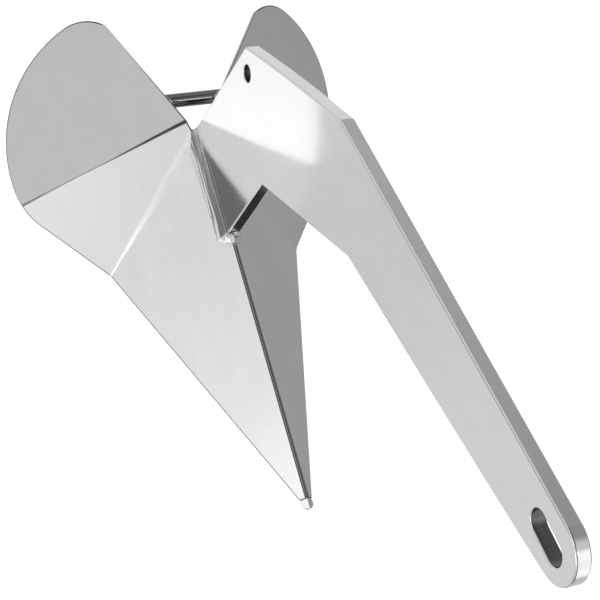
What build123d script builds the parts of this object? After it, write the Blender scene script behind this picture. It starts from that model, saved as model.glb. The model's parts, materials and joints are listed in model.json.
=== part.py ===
from build123d import *
from math import asin, atan2, cos, degrees, hypot, radians, sqrt, tan
import os

# Fixed-shank plough anchor, millimetres.
#
# Everything is drawn in the ridge frame: U forward along the fluke's ridge with 0 at the nose,
# Y to port, W up and square to the ridge. Three-number points are (U, Y, W); two-number points
# are (U, W) on the centre plane. At the end the anchor is pitched so that it stands on its nose
# and its two wing corners, with Z up and the origin under the middle of its box.

# Shank: a cranked flat bar on the centre plane
SHANK_THICKNESS = 13.0
HEEL_REAR = -373.5             # rear edge of the heel, square to the ridge
HEEL_TOP = 157.5               # its upper end
ELBOW_TOP = (-237.0, 286.0)    # outside of the elbow
ELBOW_UNDER = (-144.5, 229.0)  # inside of the elbow
NOTCH = (-264.0, 108.0)        # inside corner above the foot
FOOT_FRONT = -262.0            # front of the foot, on the ridge
SHANK_ROOT = -16.0             # the foot passes this far down between the fluke plates
EYE = (138.0, 396.0)           # centre of the round end
EYE_RADIUS = 26.4
HEEL_CROWN = 1.6               # height of the gentle arc between heel and elbow
ARM_BELLY = 1.0                # height of the gentle arc under the arm
HEEL_CORNER_RADIUS = 5.0
ELBOW_RADIUS = 9.0
ELBOW_UNDER_RADIUS = 4.0
NOTCH_RADIUS = 2.0
SHANK_EDGE_RADIUS = 1.6
SLOT_ENDS = ((117.5, 387.5), (139.8, 394.0))
SLOT_RADIUS = 10.3
TRIP_HOLE = (-353.8, 145.3)
TRIP_HOLE_RADIUS = 7.8
RIM_RADIUS = 1.0

# Fluke plate: three flat panels with a soft bend and a tighter fold between them, port side
PLATE = 3.0
RIDGE_REAR = Vector(-375.5, 0, 0)
WING_CORNER = Vector(-269.0, 97.7, -84.4)
FOLD_OUTER = Vector(-357.0, 162.0, -96.7)
FOLD_INNER = Vector(-384.2, 11.6, -4.3)
EAR_TIP = Vector(-476.9, 76.7, 25.1)
BLADE_BEND_RADII = (8.0, 60.0)  # at the wing corner and at the ridge
EAR_FOLD_RADII = (1.5, 13.0)    # at the outer and the inner end of the fold
SHEET_MARGIN = 12.0             # the bent sheet is this much larger than the plate cut from it
SHARPEST_BEND = 0.6

# Outline of the flat blank: (along the fold from FOLD_INNER, square to it towards the ear)
EAR_EDGE_END = (25.5, 114.2)
EAR_TOP_END = (61.3, 129.2)
SIDE_EDGE_END = (179.7, -8.3)
WING_CORNER_FLAT = (131.5, -99.1)
NOSE_FLAT = (45.5, -382.0)
REAR_NOTCH_FLAT = (-0.2, -9.8)
EAR_CORNER_RADIUS = 6.0
EAR_TOP_RADIUS = 37.5
EAR_RADIUS = 138.0
EAR_FOOT_RADIUS = 62.0
WING_CORNER_RADIUS = 16.0

# Nose and ridge
RIDGE_WELD_WIDTH = 2.5
NOSE_SIDE = 6.0                # from the ridge to the blade's outer edge at the nose
NOSE_LENGTH = 5.0              # the blades end this far behind the origin
NOSE_HALF_WIDTH = 5.6
NOSE_FRONT = 4.2
NOSE_BOTTOM = -7.8
NOSE_EDGE_RADIUS = 2.4
RIDGE_CROWN = -0.5
RIDGE_ROOT_BEAD = 0.8

# Welds round the foot of the shank: (rise up the shank, reach along the blade)
WELD_LEGS_REAR = (15.0, 11.0)
WELD_LEGS_SIDE = (13.0, 8.0)
WELD_LEGS_CORNER = (12.5, 8.5)
WELD_LEGS_FRONT = (11.0, 10.5)
WELD_SINK = 1.0
ROOT_WELD_GAP = 2.0
ROOT_WELD_LEG = 4.5

# Crossbar behind the shank, under the ears
CROSSBAR = (-409.0, -9.8)
CROSSBAR_RADIUS = 6.85
CROSSBAR_HALF_REACH = 100.0
CROSSBAR_WELD = 2.2

# Ballast chamber in the nose
BULKHEAD = -190.0
SOLE_RECESS = 5.0
SEAM_BEAD = 2.2

# Working sizes of cutting blocks and oversize sheets
BIG = 1500.0
BLANK_HALF_DEPTH = 40.0
BLANK_MARGIN = 30.0
BLANK_REAR_MARGIN = 50.0
NOSE_MARGIN = 25.0
EAR_MARGIN = 4.5
EAR_HEIGHT = 150.0
HEEL_CLEARANCE = 12.0

os.makedirs("parts", exist_ok=True)

ridge_dir = Vector(1, 0, 0)


def upward(n):
    """The unit vector along n that points up."""
    n = n.normalized()
    return n if n.Z > 0 else n * -1


n_front = upward(ridge_dir.cross(WING_CORNER))
n_mid = upward((WING_CORNER - RIDGE_REAR).cross(FOLD_OUTER - RIDGE_REAR))
fold_inner = FOLD_INNER - n_mid * (FOLD_INNER - RIDGE_REAR).dot(n_mid)
n_ear = upward((FOLD_OUTER - fold_inner).cross(EAR_TIP - fold_inner))


class Fold:
    """A concave bend between two flat panels, from its inner end to its outer end."""

    def __init__(self, inner, outer, n_1, n_2, radius_outer, radius_inner, extend_in, extend_out):
        self.inner, self.outer = inner, outer
        self.n_1, self.n_2 = n_1, n_2
        self.along = (outer - inner).normalized()
        self.e_1 = self.away(n_1, n_2)
        self.e_2 = self.away(n_2, n_1)
        self.angle = n_1.get_angle(n_2)
        self.length = (outer - inner).length
        self.radii = (radius_outer, radius_inner)
        self.start = -extend_in
        self.end = self.length + extend_out

    def away(self, n, other):
        """Direction in the panel with normal n, square to the fold and away from it."""
        e = self.along.cross(n).normalized()
        return e if e.dot(other) > 0 else e * -1

    def turn(self, side):
        """Signed angle about the fold that lays the other panel's plane onto panel 1 or 2."""
        flat, folded = (self.n_2, self.n_1) if side == 1 else (self.n_1, self.n_2)
        sign = 1 if flat.cross(folded).dot(self.along) > 0 else -1
        return sign * self.angle

    def radius(self, s):
        outer, inner = self.radii
        return max(inner + (outer - inner) * s / self.length, SHARPEST_BEND)

    def point(self, s):
        return self.inner + self.along * s

    def edge(self, s, side):
        """Where panel 1 or 2 ends and the bend starts, at s along the fold."""
        reach = self.radius(s) * tan(radians(self.angle / 2))
        return self.point(s) + (self.e_1 if side == 1 else self.e_2) * reach

    def section(self, s):
        up = (self.e_1 + self.e_2).normalized()
        centre = self.point(s) + up * (self.radius(s) / cos(radians(self.angle / 2)))
        top_1, top_2 = self.edge(s, 1), self.edge(s, 2)
        low_1, low_2 = top_1 - self.n_1 * PLATE, top_2 - self.n_2 * PLATE
        top_mid = centre - up * self.radius(s)
        low_mid = centre - up * (self.radius(s) + PLATE)
        return Wire([
            Line(low_1, top_1).edge(),
            ThreePointArc(top_1, top_mid, top_2).edge(),
            Line(top_2, low_2).edge(),
            ThreePointArc(low_2, low_mid, low_1).edge(),
        ])

    def solid(self):
        return Solid.make_loft([self.section(self.start), self.section(self.end)], True)

    def middle_plane(self):
        """The plane that halves the angle between the panels; its top side is panel 2's."""
        up = (self.e_1 + self.e_2).normalized()
        across = self.along.cross(up)
        across = across if across.dot(self.e_2) > 0 else across * -1
        return Plane(origin=self.inner, x_dir=self.along, z_dir=across)


def panel(corners, n):
    """A flat panel of plate thickness whose top face has the given corners."""
    face = Face(Wire.make_polygon(corners, close=True))
    return Solid.extrude(face, n * -PLATE)


# ---------------------------------------------------------------- fluke plates

def flat_blank(mid_plane):
    """The outline of the flat blank, as a thick prism square to the middle panel."""
    inner_edge = Line((0, 0), EAR_EDGE_END)
    top_arc = RadiusArc(EAR_EDGE_END, EAR_TOP_END, EAR_TOP_RADIUS)
    ear_arc = RadiusArc(EAR_TOP_END, SIDE_EDGE_END, EAR_RADIUS)
    rest = Polyline(
        SIDE_EDGE_END, WING_CORNER_FLAT, NOSE_FLAT,
        (NOSE_FLAT[0] - BLANK_MARGIN, NOSE_FLAT[1]),
        (-BLANK_REAR_MARGIN, REAR_NOTCH_FLAT[1]), REAR_NOTCH_FLAT, (0, 0),
    )
    outline = make_face([inner_edge, top_arc, ear_arc, rest])
    for corner, radius in (
        (EAR_EDGE_END, EAR_CORNER_RADIUS),
        (SIDE_EDGE_END, EAR_FOOT_RADIUS),
        (WING_CORNER_FLAT, WING_CORNER_RADIUS),
    ):
        outline = fillet(nearest(outline.vertices(), corner), radius)
    return extrude(mid_plane * outline, BLANK_HALF_DEPTH, both=True)


def nearest(shapes, point):
    """The one of some vertices or edges whose centre is nearest to a point."""
    return min(shapes, key=lambda shape: (shape.center() - Vector(point)).length)


def below(plane, depth=0.0):
    """A large block that fills the space under a plane, lowered by depth."""
    block = Box(BIG, BIG, BIG, align=(Align.CENTER, Align.CENTER, Align.MAX))
    return plane.offset(-depth) * block


def span(start, end, width=BIG):
    """A slab square to the ridge between two positions along it."""
    return Pos((start + end) / 2, 0, 0) * Box(end - start, width, BIG)


def fluke_plate():
    """The port plate: a bent sheet cut to the outline of the blank."""
    blade = Fold(RIDGE_REAR, WING_CORNER, n_front, n_mid, *BLADE_BEND_RADII, 0, SHEET_MARGIN)
    ear = Fold(fold_inner, FOLD_OUTER, n_mid, n_ear, *EAR_FOLD_RADII, EAR_MARGIN, SHEET_MARGIN)
    slope = Vector(0, n_front.Z, -n_front.Y)
    front_panel = panel([
        blade.edge(blade.start, 1), blade.edge(blade.end, 1),
        slope * NOSE_MARGIN + ridge_dir * NOSE_MARGIN,
        slope * -NOSE_MARGIN + ridge_dir * NOSE_MARGIN,
        slope * -NOSE_MARGIN + RIDGE_REAR,
    ], n_front)
    mid_panel = panel([
        blade.edge(blade.start, 2), blade.edge(blade.end, 2),
        ear.edge(ear.end, 1), ear.edge(ear.start, 1),
    ], n_mid)
    ear_panel = panel([
        ear.edge(ear.start, 2), ear.edge(ear.end, 2),
        ear.edge(ear.end, 2) + ear.e_2 * EAR_HEIGHT, ear.edge(ear.start, 2) + ear.e_2 * EAR_HEIGHT,
    ], n_ear)
    sheet = front_panel + blade.solid() + mid_panel + ear.solid() + ear_panel

    mid_plane = Plane(origin=fold_inner, x_dir=ear.along, z_dir=n_mid)
    blank = flat_blank(mid_plane)
    sheet_1 = split(sheet, bisect_by=blade.middle_plane(), keep=Keep.BOTTOM)
    rest = split(sheet, bisect_by=blade.middle_plane(), keep=Keep.TOP)
    sheet_2 = split(rest, bisect_by=ear.middle_plane(), keep=Keep.BOTTOM)
    sheet_3 = split(rest, bisect_by=ear.middle_plane(), keep=Keep.TOP)
    blank_1 = blank.rotate(Axis(blade.inner, blade.along), blade.turn(1))
    blank_3 = blank.rotate(Axis(ear.inner, ear.along), ear.turn(2))
    plate = (sheet_1 & blank_1) + (sheet_2 & blank) + (sheet_3 & blank_3)

    gap = Box(BIG, RIDGE_WELD_WIDTH, BIG)
    starboard = Pos(0, -BIG / 2, 0) * Box(BIG, BIG, BIG)
    foot = span(HEEL_REAR - HEEL_CLEARANCE, FOOT_FRONT, SHANK_THICKNESS)
    nose = span(-NOSE_LENGTH, BIG)
    return plate - gap - starboard - foot - nose


# ---------------------------------------------------------------- shank

def tangent_point(start, centre, radius, side):
    """Where a line from start touches a circle; side is 1 for left of the line, -1 for right."""
    start, centre = Vector(*start), Vector(*centre)
    reach = centre - start
    swing = degrees(asin(radius / reach.length)) * side
    length = sqrt(reach.length ** 2 - radius ** 2)
    return start + reach.normalized().rotate(Axis.Z, -swing) * length


def bowed(start, end, height):
    """A shallow arc that stands height to the left of the line from start to end."""
    start, end = Vector(*start), Vector(*end)
    left = (end - start).rotate(Axis.Z, 90).normalized()
    return ThreePointArc(start, (start + end) * 0.5 + left * height, end)


def shank():
    """Heel, elbow and arm as one flat bar, with the slot and the trip-line hole through it."""
    heel_top = (HEEL_REAR, HEEL_TOP)
    heel_root = (HEEL_REAR, SHANK_ROOT)
    foot_root = (FOOT_FRONT, SHANK_ROOT)
    eye_top = tangent_point(ELBOW_TOP, EYE, EYE_RADIUS, -1)
    eye_under = tangent_point(ELBOW_UNDER, EYE, EYE_RADIUS, 1)
    tip = Vector(*EYE) + (Vector(*EYE) - Vector(*ELBOW_UNDER)).normalized() * EYE_RADIUS
    profile = make_face([
        Line(heel_root, heel_top),
        bowed(heel_top, ELBOW_TOP, HEEL_CROWN),
        Line(ELBOW_TOP, eye_top),
        ThreePointArc(eye_top, tip, eye_under),
        bowed(eye_under, ELBOW_UNDER, ARM_BELLY),
        Polyline(ELBOW_UNDER, NOTCH, foot_root, heel_root),
    ])
    for corner, radius in (
        (heel_top, HEEL_CORNER_RADIUS),
        (ELBOW_TOP, ELBOW_RADIUS),
        (ELBOW_UNDER, ELBOW_UNDER_RADIUS),
        (NOTCH, NOTCH_RADIUS),
    ):
        profile = fillet(nearest(profile.vertices(), corner), radius)
    bar = extrude(Plane.XZ * profile, SHANK_THICKNESS / 2, both=True)
    sides = bar.faces().filter_by(Axis.Y)
    bar = fillet([edge for side in sides for edge in side.edges()], SHANK_EDGE_RADIUS)

    slot_a, slot_b = SLOT_ENDS
    slot = SlotCenterToCenter(hypot(slot_b[0] - slot_a[0], slot_b[1] - slot_a[1]), 2 * SLOT_RADIUS)
    slot_middle = ((slot_a[0] + slot_b[0]) / 2, (slot_a[1] + slot_b[1]) / 2)
    slot_tilt = degrees(atan2(slot_b[1] - slot_a[1], slot_b[0] - slot_a[0]))
    slot = Pos(*slot_middle) * Rot(0, 0, slot_tilt) * slot
    trip_hole = Pos(*TRIP_HOLE) * Circle(TRIP_HOLE_RADIUS)
    bar -= extrude(Plane.XZ * (slot + trip_hole), SHANK_THICKNESS, both=True)
    rims = [
        edge for side in bar.faces().filter_by(Axis.Y)
        for wire in side.inner_wires()
        for edge in wire.edges()
    ]
    return fillet(rims, RIM_RADIUS)


# ---------------------------------------------------------------- nose and ridge

front_port = Plane(origin=(0, 0, 0), x_dir=(1, 0, 0), z_dir=n_front)


def mirrored(part):
    return mirror(part, about=Plane.XZ)


def under_blades(depth=0.0):
    """The endless wedge under both front panels, lowered square to them by depth."""
    port = below(front_port, depth)
    return port & mirrored(port)


def nose_point():
    """A solid toe with a blunt round front, flush with both blades."""
    plan = Pos(NOSE_FRONT - NOSE_HALF_WIDTH, 0) * Circle(NOSE_HALF_WIDTH)
    toe = Pos(0, 0, NOSE_BOTTOM) * extrude(plan, RIDGE_CROWN - NOSE_BOTTOM)
    bottom_edges = toe.faces().sort_by(Axis.Z)[0].edges()
    return fillet(bottom_edges, NOSE_EDGE_RADIUS) & under_blades() & span(-NOSE_LENGTH, BIG)


def ridge_weld():
    """The ground bead that fills the gap between the blades from the toe to the shank."""
    half = RIDGE_WELD_WIDTH / 2
    top = -half * n_front.Y / n_front.Z
    low = top - PLATE / n_front.Z
    section = make_face([
        ThreePointArc((-half, top), (0, RIDGE_CROWN), (half, top)),
        Line((half, top), (half, low)),
        ThreePointArc((half, low), (0, low - RIDGE_ROOT_BEAD), (-half, low)),
        Line((-half, low), (-half, top)),
    ])
    start = Plane(origin=(FOOT_FRONT, 0, 0), x_dir=(0, 1, 0), z_dir=(1, 0, 0))
    return extrude(start * section, -FOOT_FRONT - NOSE_LENGTH)


# ---------------------------------------------------------------- shank welds

def ground(y):
    """Height of the blades' top faces at a distance y from the centre plane."""
    return -abs(y) * n_front.Y / n_front.Z


def weld_section(anchor, direction, rise, reach):
    """A concave fillet section that leans on the shank at anchor and runs out along direction."""
    anchor, direction = Vector(*anchor), Vector(*direction)
    toe = anchor + direction * reach
    foot = anchor + Vector(0, 0, ground(anchor.Y))
    toe = toe + Vector(0, 0, ground(toe.Y))
    top = foot + Vector(0, 0, rise)
    sink = Vector(0, 0, -WELD_SINK)
    return Wire([
        Line(foot + sink, top).edge(),
        Bezier(top, foot, toe).edge(),
        Line(toe, toe + sink).edge(),
        Line(toe + sink, foot + sink).edge(),
    ])


def shank_weld(*base):
    """The port half of the ground fillet round the foot of the shank, laid on the base parts."""
    half = SHANK_THICKNESS / 2
    rear = weld_section((HEEL_REAR, half, 0), (0, 1, 0), *WELD_LEGS_REAR)
    side = weld_section((FOOT_FRONT - SHANK_EDGE_RADIUS, half, 0), (0, 1, 0), *WELD_LEGS_SIDE)
    inset = SHANK_EDGE_RADIUS * (1 - sqrt(0.5))
    corner = weld_section(
        (FOOT_FRONT - inset, half - inset, 0), (sqrt(0.5), sqrt(0.5), 0), *WELD_LEGS_CORNER)
    front = weld_section((FOOT_FRONT, 0, 0), (1, 0, 0), *WELD_LEGS_FRONT)
    straight = Solid.make_loft([rear, side], True)
    wrap = Solid.make_loft([side, corner, front], False)
    fillet_weld = straight + wrap
    for part in base:
        fillet_weld -= part
    return max(fillet_weld.solids(), key=lambda solid: solid.volume)


def root_weld():
    """The port bead under the blades, against the root of the shank."""
    half = SHANK_THICKNESS / 2
    under = PLATE / n_front.Z
    section = make_face(Polyline(
        (half, ground(half) - under),
        (half, SHANK_ROOT + ROOT_WELD_GAP),
        (half + ROOT_WELD_LEG, ground(half + ROOT_WELD_LEG) - under),
        close=True,
    ))
    start = Plane(origin=(HEEL_REAR + HEEL_CORNER_RADIUS, 0, 0), x_dir=(0, 1, 0), z_dir=(1, 0, 0))
    return extrude(start * section, FOOT_FRONT - HEEL_REAR - 2 * HEEL_CORNER_RADIUS)


# ---------------------------------------------------------------- crossbar

ear_port = Plane(origin=fold_inner, x_dir=(FOLD_OUTER - fold_inner).normalized(), z_dir=n_ear)


def under_ears(depth):
    """The endless wedge under both ears, lowered square to them by depth."""
    port = below(ear_port, depth)
    return port & mirrored(port)


def rod(radius):
    across = Plane(origin=(CROSSBAR[0], 0, CROSSBAR[1]), x_dir=(1, 0, 0), z_dir=(0, 1, 0))
    return extrude(across * Circle(radius), CROSSBAR_HALF_REACH, both=True)


def crossbar():
    """The round bar between the backs of the ears, its ends cut to lie on them."""
    return rod(CROSSBAR_RADIUS) & under_ears(PLATE)


def crossbar_weld():
    """The bead round the port end of the crossbar."""
    bead = (rod(CROSSBAR_RADIUS + CROSSBAR_WELD) & under_ears(PLATE)) - under_ears(PLATE + CROSSBAR_WELD)
    port = Pos(0, BIG / 2 + CROSSBAR_WELD, 0) * Box(BIG, BIG, BIG)
    return (bead & port) - rod(CROSSBAR_RADIUS)


# ---------------------------------------------------------------- ballast chamber

nose_side_w = -NOSE_SIDE * n_front.Y
side_slope = (WING_CORNER.Z - nose_side_w) / WING_CORNER.X   # fall of the blades' outer edges


def sole_plane(height):
    """A plane through the blades' outer edges, raised by height."""
    start = (0, 0, nose_side_w + height)
    return Plane(origin=start, x_dir=Vector(1, 0, side_slope), z_dir=Vector(-side_slope, 0, 1))


def chamber(front, rear):
    """The space under the blades and over the sole plane between two positions."""
    over_sole = sole_plane(SOLE_RECESS) * Box(
        BIG, BIG, BIG, align=(Align.CENTER, Align.CENTER, Align.MIN))
    return under_blades(PLATE) & over_sole & span(rear, front)


def sole_plate():
    return chamber(-NOSE_LENGTH, BULKHEAD) & below(sole_plane(SOLE_RECESS + PLATE))


def bulkhead():
    return chamber(BULKHEAD + PLATE, BULKHEAD) - sole_plate()


def ballast():
    """Lead cast into the chamber, which takes the shape of everything round it."""
    return chamber(-NOSE_LENGTH, BULKHEAD + PLATE) - sole_plate()


def seam_bead(start, end, keep):
    """A round bead along a seam from start to end, cut to the space it can fill."""
    start, end = Vector(*start), Vector(*end)
    line = Plane(origin=start, z_dir=end - start)
    return extrude(line * Circle(SEAM_BEAD), (end - start).length) & keep


def seam_point(u, height):
    """Where the port blade's underside meets the sole plane raised by height, at u."""
    w = nose_side_w + u * side_slope + height
    return (u, (-w - PLATE / n_front.Z) * n_front.Z / n_front.Y, w)


def sole_weld():
    """The port bead along the sole plate, outside the chamber."""
    apex = -(PLATE / n_front.Z + nose_side_w + SOLE_RECESS) / side_slope
    outside = under_blades(PLATE) & below(sole_plane(SOLE_RECESS))
    port = Pos(0, BIG / 2, 0) * Box(BIG, BIG, BIG)
    return seam_bead(seam_point(apex, SOLE_RECESS), seam_point(BULKHEAD, SOLE_RECESS), outside & port)


def bulkhead_weld():
    """The bead round the bulkhead's two upper edges, behind the chamber."""
    behind = under_blades(PLATE) & span(-BIG, BULKHEAD)
    low = seam_point(BULKHEAD, SOLE_RECESS)
    port = seam_bead((BULKHEAD, 0, -PLATE / n_front.Z), low, behind)
    return port + mirrored(port)


# ---------------------------------------------------------------- the anchor

bar = shank()
plate = fluke_plate()
seam = ridge_weld()
sole_seam = sole_weld() - seam

nodes = {
    "shank": bar,
    "crossbar": crossbar(),
    "nose_point": nose_point(),
    "ridge_weld": seam,
    "sole_plate": sole_plate() - seam,
    "bulkhead": bulkhead() - seam,
    "bulkhead_weld": bulkhead_weld() - seam - sole_seam - mirrored(sole_seam),
    "ballast": ballast() - seam,
}
for name, port_part in (
    ("fluke_plate", plate),
    ("shank_weld", shank_weld(plate, bar, seam)),
    ("root_weld", root_weld()),
    ("crossbar_weld", crossbar_weld()),
    ("sole_weld", sole_seam),
):
    nodes[name + "_port"] = port_part
    nodes[name + "_starboard"] = mirrored(port_part)

# The ridge is pitched down until the nose and the wing corners stand on one level.
corner_low = WING_CORNER - n_front * PLATE
nose_contact = NOSE_FRONT - NOSE_EDGE_RADIUS
pitch = degrees(atan2(NOSE_BOTTOM - corner_low.Z, nose_contact - corner_low.X))
pitched = {name: Rot(0, pitch, 0) * part for name, part in nodes.items()}
box = Compound(list(pitched.values())).bounding_box()
to_origin = Pos(-(box.min.X + box.max.X) / 2, 0, -box.min.Z)

for name, part in pitched.items():
    export_step(to_origin * part, os.path.join("parts", name + ".step"))
print("pitch", round(pitch, 4), "length, width, height", box.size)
print("ridge frame's origin", to_origin.position)
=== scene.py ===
import json
import math

import bmesh
import bpy
from mathutils import Matrix, Vector, noise


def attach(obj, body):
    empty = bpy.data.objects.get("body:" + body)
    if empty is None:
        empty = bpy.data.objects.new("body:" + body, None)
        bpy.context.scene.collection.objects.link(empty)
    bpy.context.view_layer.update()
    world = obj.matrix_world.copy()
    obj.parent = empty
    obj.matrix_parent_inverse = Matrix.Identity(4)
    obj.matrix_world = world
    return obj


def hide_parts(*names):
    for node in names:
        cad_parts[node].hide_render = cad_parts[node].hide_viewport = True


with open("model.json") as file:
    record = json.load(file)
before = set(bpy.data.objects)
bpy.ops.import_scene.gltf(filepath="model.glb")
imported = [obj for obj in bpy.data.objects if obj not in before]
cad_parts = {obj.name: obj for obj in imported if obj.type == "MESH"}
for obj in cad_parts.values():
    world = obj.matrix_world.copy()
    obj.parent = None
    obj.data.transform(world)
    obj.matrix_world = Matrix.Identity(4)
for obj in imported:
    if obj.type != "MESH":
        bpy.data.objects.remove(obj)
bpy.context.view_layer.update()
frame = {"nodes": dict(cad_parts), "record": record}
nodes = frame["nodes"]
MM = 0.001

# ---------------------------------------------------------------- camera

CAMERA_PLACE = Vector((0.74091, -0.58940, 1.28282))
CAMERA_TARGET = Vector((-0.02367, 0.00054, 0.15011))
CAMERA_ROLL = math.radians(21.273)
CAMERA_LENS = 103.78


def make_camera():
    data = bpy.data.cameras.new("camera")
    data.lens = CAMERA_LENS
    camera = bpy.data.objects.new("camera", data)
    bpy.context.scene.collection.objects.link(camera)
    look = (CAMERA_TARGET - CAMERA_PLACE).to_track_quat("-Z", "Y").to_matrix().to_4x4()
    roll = Matrix.Rotation(CAMERA_ROLL, 4, "Z")
    camera.matrix_world = Matrix.Translation(CAMERA_PLACE) @ look @ roll
    bpy.context.scene.camera = camera


# ---------------------------------------------------------------- node trees

class Tree:
    """Short calls for building a node tree."""

    def __init__(self, owner):
        owner.use_nodes = True
        self.tree = owner.node_tree

    def add(self, kind, **settings):
        node = self.tree.nodes.new(kind)
        for key, value in settings.items():
            setattr(node, key, value)
        return node

    def link(self, source, target):
        self.tree.links.new(source, target)

    def feed(self, socket, value):
        """Links an output to an input, or sets the input to a plain value."""
        if isinstance(value, bpy.types.NodeSocket):
            self.link(value, socket)
        else:
            socket.default_value = value

    def math(self, operation, first, second=0.0):
        node = self.add("ShaderNodeMath", operation=operation)
        self.feed(node.inputs[0], first)
        self.feed(node.inputs[1], second)
        return node.outputs[0]

    def dot(self, vector, direction):
        node = self.add("ShaderNodeVectorMath", operation="DOT_PRODUCT")
        self.link(vector, node.inputs[0])
        node.inputs[1].default_value = direction
        return node.outputs["Value"]

    def ramp(self, value, low, high, to_low=0.0, to_high=1.0, smooth=False):
        node = self.add("ShaderNodeMapRange")
        if smooth:
            node.interpolation_type = "SMOOTHSTEP"
        self.link(value, node.inputs["Value"])
        node.inputs["From Min"].default_value = low
        node.inputs["From Max"].default_value = high
        node.inputs["To Min"].default_value = to_low
        node.inputs["To Max"].default_value = to_high
        return node.outputs["Result"]

    def blend(self, factor, first, second):
        node = self.add("ShaderNodeMix")
        self.feed(node.inputs["Factor"], factor)
        self.feed(node.inputs["A"], first)
        self.feed(node.inputs["B"], second)
        return node.outputs["Result"]

    def grain(self, along, length, width, detail=2.0, roughness=0.5):
        """Noise stretched along a direction; length and width are its feature sizes in metres."""
        along = Vector(along).normalized()
        across = along.orthogonal().normalized()
        turn = Matrix((along, across, along.cross(across))).transposed().to_euler()
        place = self.add("ShaderNodeTexCoord").outputs["Object"]
        fit = self.add("ShaderNodeMapping", vector_type="TEXTURE")
        fit.inputs["Rotation"].default_value = turn
        fit.inputs["Scale"].default_value = (length, width, width)
        self.link(place, fit.inputs["Vector"])
        cloud = self.add("ShaderNodeTexNoise")
        cloud.inputs["Scale"].default_value = 1.0
        cloud.inputs["Detail"].default_value = detail
        cloud.inputs["Roughness"].default_value = roughness
        self.link(fit.outputs["Vector"], cloud.inputs["Vector"])
        return cloud.outputs["Fac"]

    def bump(self, height, depth, below=None):
        node = self.add("ShaderNodeBump")
        node.inputs["Distance"].default_value = depth
        self.link(height, node.inputs["Height"])
        if below is not None:
            self.link(below, node.inputs["Normal"])
        return node.outputs["Normal"]


# ---------------------------------------------------------------- studio

# Soft boxes and dark cards on the sky, painted one over another, each with what mirrors it:
# (direction, half width, half height, edge softness, roll in degrees, level).
# The half sizes are sines of angles.
STUDIO = [
    ((0.0, 1.0, 0.0), 0.90, 0.62, 0.4, 0, 0.45),              # port blade and ear
    ((-0.91, 0.40, -0.10), 0.35, 0.35, 0.6, 0, 0.92),         # top of the heel
    ((-0.62, 0.47, 0.62), 0.25, 0.25, 0.6, 0, 0.55),          # upper edge of the arm
    ((-0.15, 0.56, 0.80), 0.42, 0.25, 0.4, 0, 0.38),          # the same, towards its round end
    ((0.96, 0.18, 0.0), 0.26, 0.85, 0.15, 0, 0.06),           # front of the crossbar
    ((0.80, 0.61, 0.0), 0.14, 0.62, 0.3, 0, 1.50),            # round end of the arm
    ((0.68, 0.27, -0.68), 0.20, 0.24, 0.3, 0, 0.05),          # underside of the crossbar
    ((-0.88, 0.33, 0.34), 0.14, 0.16, 0.4, 0, 0.36),          # back of the crossbar
    ((0.14, 0.28, -0.95), 0.14, 0.16, 0.3, 0, 0.06),          # front of the foot
    ((0.30, 0.90, -0.34), 0.24, 0.22, 0.4, 0, 0.05),          # the same, by way of the blade
    ((-0.42, -0.46, -0.78), 0.55, 0.55, 0.6, 0, 0.92),        # starboard face of the shank
    ((-0.53, -0.42, -0.73), 0.08, 0.08, 0.9, 0, 0.82),        # the same, a duller spot
    ((0.10, -0.95, 0.28), 0.95, 0.55, 0.5, 0, 1.02),          # starboard blade
    ((0.24, -0.70, 0.66), 0.13, 0.12, 0.8, 0, 1.20),          # its middle panel
    ((0.76, -0.46, 0.46), 0.24, 0.24, 0.8, 0, 0.77),          # its ear
    ((0.48, -0.88, 0.03), 0.30, 0.22, 0.5, 0, 2.25),          # the shank's image of the ear
    ((0.05, -0.99, 0.16), 0.20, 0.16, 0.6, 0, 1.40),          # the shank's image of the middle panel
    ((-0.45, -0.86, -0.20), 0.24, 0.32, 0.3, 0, 0.27),        # the shank's image of the front blade
    ((-0.02, -0.86, 0.52), 0.10, 0.09, 0.9, 0, 1.24),         # front blade beside the bend
    ((0.09, -0.80, 0.60), 0.13, 0.06, 0.6, 24, 1.90),         # light streak along the bend
    ((0.10, 0.00, 0.99), 0.38, 0.60, 0.2, 0, 0.05),           # ridge weld and top of the crossbar
    ((0.70, 0.36, 0.62), 0.09, 0.08, 0.4, 0, 3.50),           # light streak on the crossbar
    ((0.565, -0.48, 0.685), 0.20, 0.13, 0.3, -40, 0.08),      # dark line of the ear fold
]
SKY_TOP = 0.85
SKY_BOTTOM = 0.70
HORIZON_BLUR = 0.05     # a patch fades out this far either side of a right angle to its centre

FLOOR_SIZE = 60
FLOOR_TONE = 0.9
FLOOR_GLOW = 0.8


def painted(tree, direction, level, centre, half_width, half_height, softness, roll, new_level):
    """A soft oval patch of the sky at a new level, over what is there."""
    facing = Vector(centre).normalized()
    side = facing.cross(Vector((0, 0, 1))).normalized()
    up = side.cross(facing)
    turn = Matrix.Rotation(math.radians(roll), 3, facing)
    side, up = turn @ side, turn @ up
    x = tree.dot(direction, side / half_width)
    y = tree.dot(direction, up / half_height)
    square = tree.math("ADD", tree.math("MULTIPLY", x, x), tree.math("MULTIPLY", y, y))
    radius = tree.math("SQRT", square)
    inside = tree.ramp(radius, 1 - softness, 1 + softness, 1.0, 0.0, smooth=True)
    before = tree.ramp(tree.dot(direction, facing), -HORIZON_BLUR, HORIZON_BLUR)
    return tree.blend(tree.math("MULTIPLY", inside, before), level, new_level)


def make_studio():
    world = bpy.data.worlds.new("studio")
    bpy.context.scene.world = world
    tree = Tree(world)
    direction = tree.add("ShaderNodeTexCoord").outputs["Generated"]
    level = tree.ramp(tree.dot(direction, (0, 0, 1)), -1.0, 1.0, SKY_BOTTOM, SKY_TOP)
    for patch in STUDIO:
        level = painted(tree, direction, level, *patch)
    tree.link(level, tree.tree.nodes["Background"].inputs["Color"])


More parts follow.
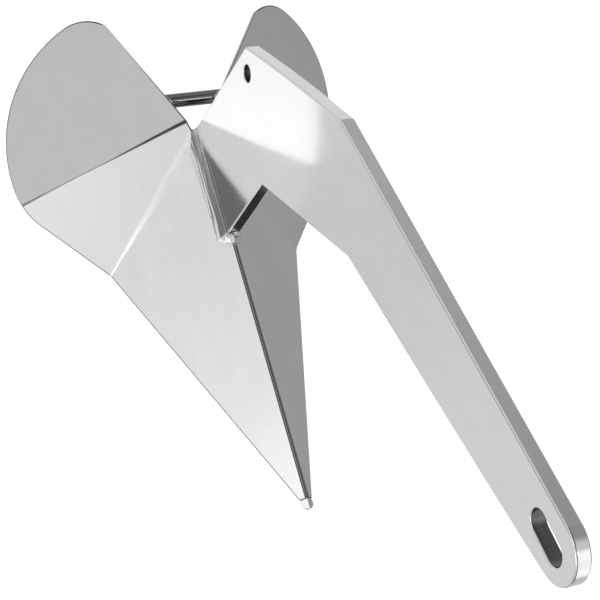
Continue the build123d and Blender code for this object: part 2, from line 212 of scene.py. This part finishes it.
def make_floor():
    bpy.ops.mesh.primitive_plane_add(size=FLOOR_SIZE)
    floor = bpy.context.object
    floor.name = "floor"
    material = bpy.data.materials.new("floor_white")
    tree = Tree(material)
    shader = tree.tree.nodes["Principled BSDF"]
    shader.inputs["Base Color"].default_value = (FLOOR_TONE, FLOOR_TONE, FLOOR_TONE, 1)
    shader.inputs["Roughness"].default_value = 1
    shader.inputs["Emission Color"].default_value = (1, 1, 1, 1)
    shader.inputs["Emission Strength"].default_value = FLOOR_GLOW
    floor.data.materials.append(material)
    floor.visible_glossy = False


# ---------------------------------------------------------------- materials

GRAIN_SIZE = (6 * MM, 0.5 * MM)         # length and width of the polishing grain
CLOUD_SIZE = (45 * MM, 20 * MM)         # of the cloudy changes of tone and gloss
HAIR_SIZE = (40 * MM, 0.35 * MM)        # of the hairlines
WAVE_SIZE = (90 * MM, 45 * MM)          # of the waves in the sheet
GRAIN_SPAN = (0.25, 0.75)               # noise levels used of each
CLOUD_SPAN = (0.3, 0.7)
HAIR_SPAN = (0.66, 0.74)
CLOUD_TONE = 0.012
WARMTH = (1.0, 0.998, 0.99)             # red, green and blue of the steel, for a tone of one


def steel(
        name, along, tone=0.66, roughness=0.10, spread=0.04, grain_depth=2e-6, wave=2e-5, streaks=0.03):
    """Polished stainless steel: directional polishing grain, hairlines and faint waviness."""
    material = bpy.data.materials.new(name)
    tree = Tree(material)
    shader = tree.tree.nodes["Principled BSDF"]
    shader.inputs["Metallic"].default_value = 1

    fine = tree.grain(along, *GRAIN_SIZE, detail=3, roughness=0.6)
    cloud = tree.grain(along, *CLOUD_SIZE, detail=2)
    hair = tree.grain(along, *HAIR_SIZE, detail=1)
    hairline = tree.ramp(hair, *HAIR_SPAN)

    tint = tree.add("ShaderNodeCombineColor")
    shade = tree.ramp(fine, *GRAIN_SPAN, tone - streaks, tone + streaks)
    shade = tree.math("ADD", shade, tree.ramp(cloud, *CLOUD_SPAN, -CLOUD_TONE, CLOUD_TONE))
    for channel, warmth in zip(tint.inputs, WARMTH):
        tree.link(tree.math("MULTIPLY", shade, warmth), channel)
    tree.link(tint.outputs["Color"], shader.inputs["Base Color"])

    rough = tree.ramp(cloud, *CLOUD_SPAN, roughness - spread / 2, roughness + spread / 2)
    rough = tree.math("ADD", rough, tree.math("MULTIPLY", hairline, spread))
    tree.link(rough, shader.inputs["Roughness"])

    waves = tree.bump(tree.grain(along, *WAVE_SIZE, detail=0), wave)
    grain = tree.bump(fine, grain_depth, waves)
    tree.link(grain, shader.inputs["Normal"])
    return material


# ---------------------------------------------------------------- pieces

RIDGE = Vector((0.96011, 0, -0.27963))     # forward along the fluke's ridge

WELD_DISTANCE = 0.45 * MM       # closer vertices of a plate are merged
FLAT_ANGLE = math.radians(1)    # flatter creases are dissolved
RIM_ANGLE = math.radians(45)    # sharper edges are rims
RIM_LENGTH = 2.5 * MM           # shorter edges, at the inner end of the ear fold, stay sharp
RIM_WIDTH = 1.2 * MM
RIM_SEGMENTS = 4
AREA_POWER = 1.5                # how far a large face leads the normals of its corners

BEAD_GRID = 0.5 * MM
BEAD_RELAX = 0.5
BEAD_PASSES = 3
TIP_REACH = 14 * MM             # length of a bead's rough front end
TIP_LUMP = 3.2 * MM             # size of the lumps there

BORE_REACH = 22.5 * MM          # faces within this of a hole's centre are its walls,
BORE_TILT = 0.3                 # if their normals lean no more than this towards the hole's axis


def dress(thing, *materials):
    thing.data.materials.clear()
    for material in materials:
        thing.data.materials.append(material)


def stand_in(mesh, node_name, piece_name, materials):
    """A new piece in place of a CAD node; all its faces start with the first material."""
    mesh.name = piece_name
    piece = bpy.data.objects.new(piece_name, mesh)
    bpy.context.scene.collection.objects.link(piece)
    dress(piece, *materials)
    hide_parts(node_name)
    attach(piece, "root")
    return piece


def eased_copy(node_name, piece_name, width, materials):
    """A CAD node with its sharp rims rounded; the rounded rims take the second material."""
    piece = stand_in(nodes[node_name].data.copy(), node_name, piece_name, materials)
    work = bmesh.new()
    work.from_mesh(piece.data)
    bmesh.ops.remove_doubles(work, verts=work.verts, dist=WELD_DISTANCE)
    bmesh.ops.dissolve_limit(work, angle_limit=FLAT_ANGLE, verts=work.verts, edges=work.edges)
    rims = [
        edge for edge in work.edges
        if edge.calc_face_angle() > RIM_ANGLE and edge.calc_length() > RIM_LENGTH
    ]
    eased = bmesh.ops.bevel(
        work, geom=rims, offset=width, segments=RIM_SEGMENTS, profile=0.5, affect="EDGES",
        clamp_overlap=False, loop_slide=False)
    for face in work.faces:
        face.smooth = True
        face.material_index = 0
    for face in eased["faces"]:
        face.material_index = 1
    work.to_mesh(piece.data)
    work.free()
    set_area_normals(piece.data)


def set_area_normals(mesh):
    """Vertex normals led by the largest face round each vertex, so that flat panels stay flat."""
    normals = [Vector() for _ in mesh.vertices]
    for face in mesh.polygons:
        for index in face.vertices:
            normals[index] += face.normal * face.area ** AREA_POWER
    mesh.normals_split_custom_set_from_vertices([normal.normalized() for normal in normals])


def stretched_noise(point, along, length, width):
    """Noise in -1..1 with features of one length along a direction and another across it."""
    run = point.dot(along)
    aside = point - along * run
    return noise.noise(aside / width + along * (run / length))


def even_mesh(mesh):
    """A closed mesh rebuilt on an even fine grid and lightly smoothed."""
    work = bpy.data.objects.new("bead_work", mesh.copy())
    bpy.context.scene.collection.objects.link(work)
    fine = work.modifiers.new("fine", "REMESH")
    fine.mode = "VOXEL"
    fine.voxel_size = BEAD_GRID
    fine.use_smooth_shade = True
    relax = work.modifiers.new("relax", "SMOOTH")
    relax.factor = BEAD_RELAX
    relax.iterations = BEAD_PASSES
    shape = work.evaluated_get(bpy.context.evaluated_depsgraph_get())
    even = bpy.data.meshes.new_from_object(shape)
    bpy.data.objects.remove(work)
    return even


def bead_copy(node_name, piece_name, along, ripple, length, width, material, tip=0.0):
    """A weld bead as an even fine mesh, rippled along its run; tip roughens its front end more."""
    mesh = even_mesh(nodes[node_name].data)
    along = Vector(along).normalized()
    front = max(vertex.co.dot(along) for vertex in mesh.vertices)
    normals = [vertex.normal.copy() for vertex in mesh.vertices]
    for vertex, normal in zip(mesh.vertices, normals):
        swell = ripple * stretched_noise(vertex.co, along, length, width)
        nearness = max(0.0, 1 - (front - vertex.co.dot(along)) / TIP_REACH)
        swell += tip * nearness * noise.noise(vertex.co / TIP_LUMP)
        vertex.co += normal * swell
    for face in mesh.polygons:
        face.use_smooth = True
    stand_in(mesh, node_name, piece_name, [material])


def bored_copy(node_name, piece_name, centres, reach, materials):
    """A CAD node whose faces inside the bores take the second material."""
    mesh = nodes[node_name].data.copy()
    stand_in(mesh, node_name, piece_name, materials)
    for face in mesh.polygons:
        near = any(math.hypot(face.center.x - x, face.center.z - z) < reach for x, z in centres)
        face.material_index = 1 if near and abs(face.normal.y) < BORE_TILT else 0


make_camera()
make_studio()
make_floor()

arm_steel = steel("shank_polish", (0.55, 0, 0.2))
# bore walls: rough as-cut steel (real); its very low tone is painted shade inside the slot and the hole
bore_steel_painted_shade = steel("bore_cut_painted_shade", (0, 1, 0), tone=0.16, roughness=0.32, grain_depth=8e-6, streaks=0.06)
# crossbar: a darker copy of the polished steel; its low tone is painted shade standing in for dark
# reflections
bar_steel_painted_shade = steel("bar_polish_painted_shade", (0, 1, 0), tone=0.20, roughness=0.05)
blade_steel = steel("fluke_polish", RIDGE)
# rounded rims: a darker copy of the blade steel; the dark lines along the plate edges are painted shade
rim_steel_painted_shade = steel("fluke_rim_painted_shade", RIDGE, tone=0.24, roughness=0.12, grain_depth=1e-6)
weld_steel = steel("ground_weld", RIDGE, tone=0.64, roughness=0.12, grain_depth=3e-6)
bead_steel = steel("weld_bead", RIDGE, tone=0.58, roughness=0.24, grain_depth=6e-6)
# ridge weld: a darker copy of the ground weld steel; its low tone is painted shade in the crease
# between the blades
ridge_steel_painted_shade = steel("ridge_ground_painted_shade", RIDGE, tone=0.26, roughness=0.12, grain_depth=4e-6)
sole_steel = steel("sole_brushed", RIDGE, tone=0.56, roughness=0.30, grain_depth=1e-5, streaks=0.06)
lead = steel("cast_lead", RIDGE, tone=0.22, roughness=0.55, grain_depth=4e-5)

bores = [(mount["pos_m"][0], mount["pos_m"][2]) for mount in frame["record"]["mounts"]]
bored_copy("shank", "shank_bar", bores, BORE_REACH, (arm_steel, bore_steel_painted_shade))
for side in ("port", "starboard"):
    eased_copy("fluke_plate_" + side, "blade_" + side, RIM_WIDTH, (blade_steel, rim_steel_painted_shade))
    bead_copy(
        "shank_weld_" + side, "foot_bead_" + side, RIDGE,
        0.22 * MM, 30 * MM, 2.4 * MM, weld_steel, tip=0.7 * MM)
    bead_copy(
        "root_weld_" + side, "root_bead_" + side, RIDGE,
        0.25 * MM, 2.5 * MM, 4 * MM, bead_steel)
    bead_copy(
        "sole_weld_" + side, "sole_bead_" + side, RIDGE,
        0.20 * MM, 2.5 * MM, 4 * MM, bead_steel)
    bead_copy(
        "crossbar_weld_" + side, "crossbar_bead_" + side, (0, 0, 1),
        0.20 * MM, 3 * MM, 3 * MM, bead_steel)
bead_copy(
    "bulkhead_weld", "bulkhead_bead", (0, 1, 0),
    0.20 * MM, 2.5 * MM, 4 * MM, bead_steel)
dress(nodes["crossbar"], bar_steel_painted_shade)
dress(nodes["nose_point"], weld_steel)
dress(nodes["ridge_weld"], ridge_steel_painted_shade)
dress(nodes["sole_plate"], sole_steel)
dress(nodes["bulkhead"], sole_steel)
dress(nodes["ballast"], lead)

bpy.context.scene.view_settings.view_transform = "Standard"
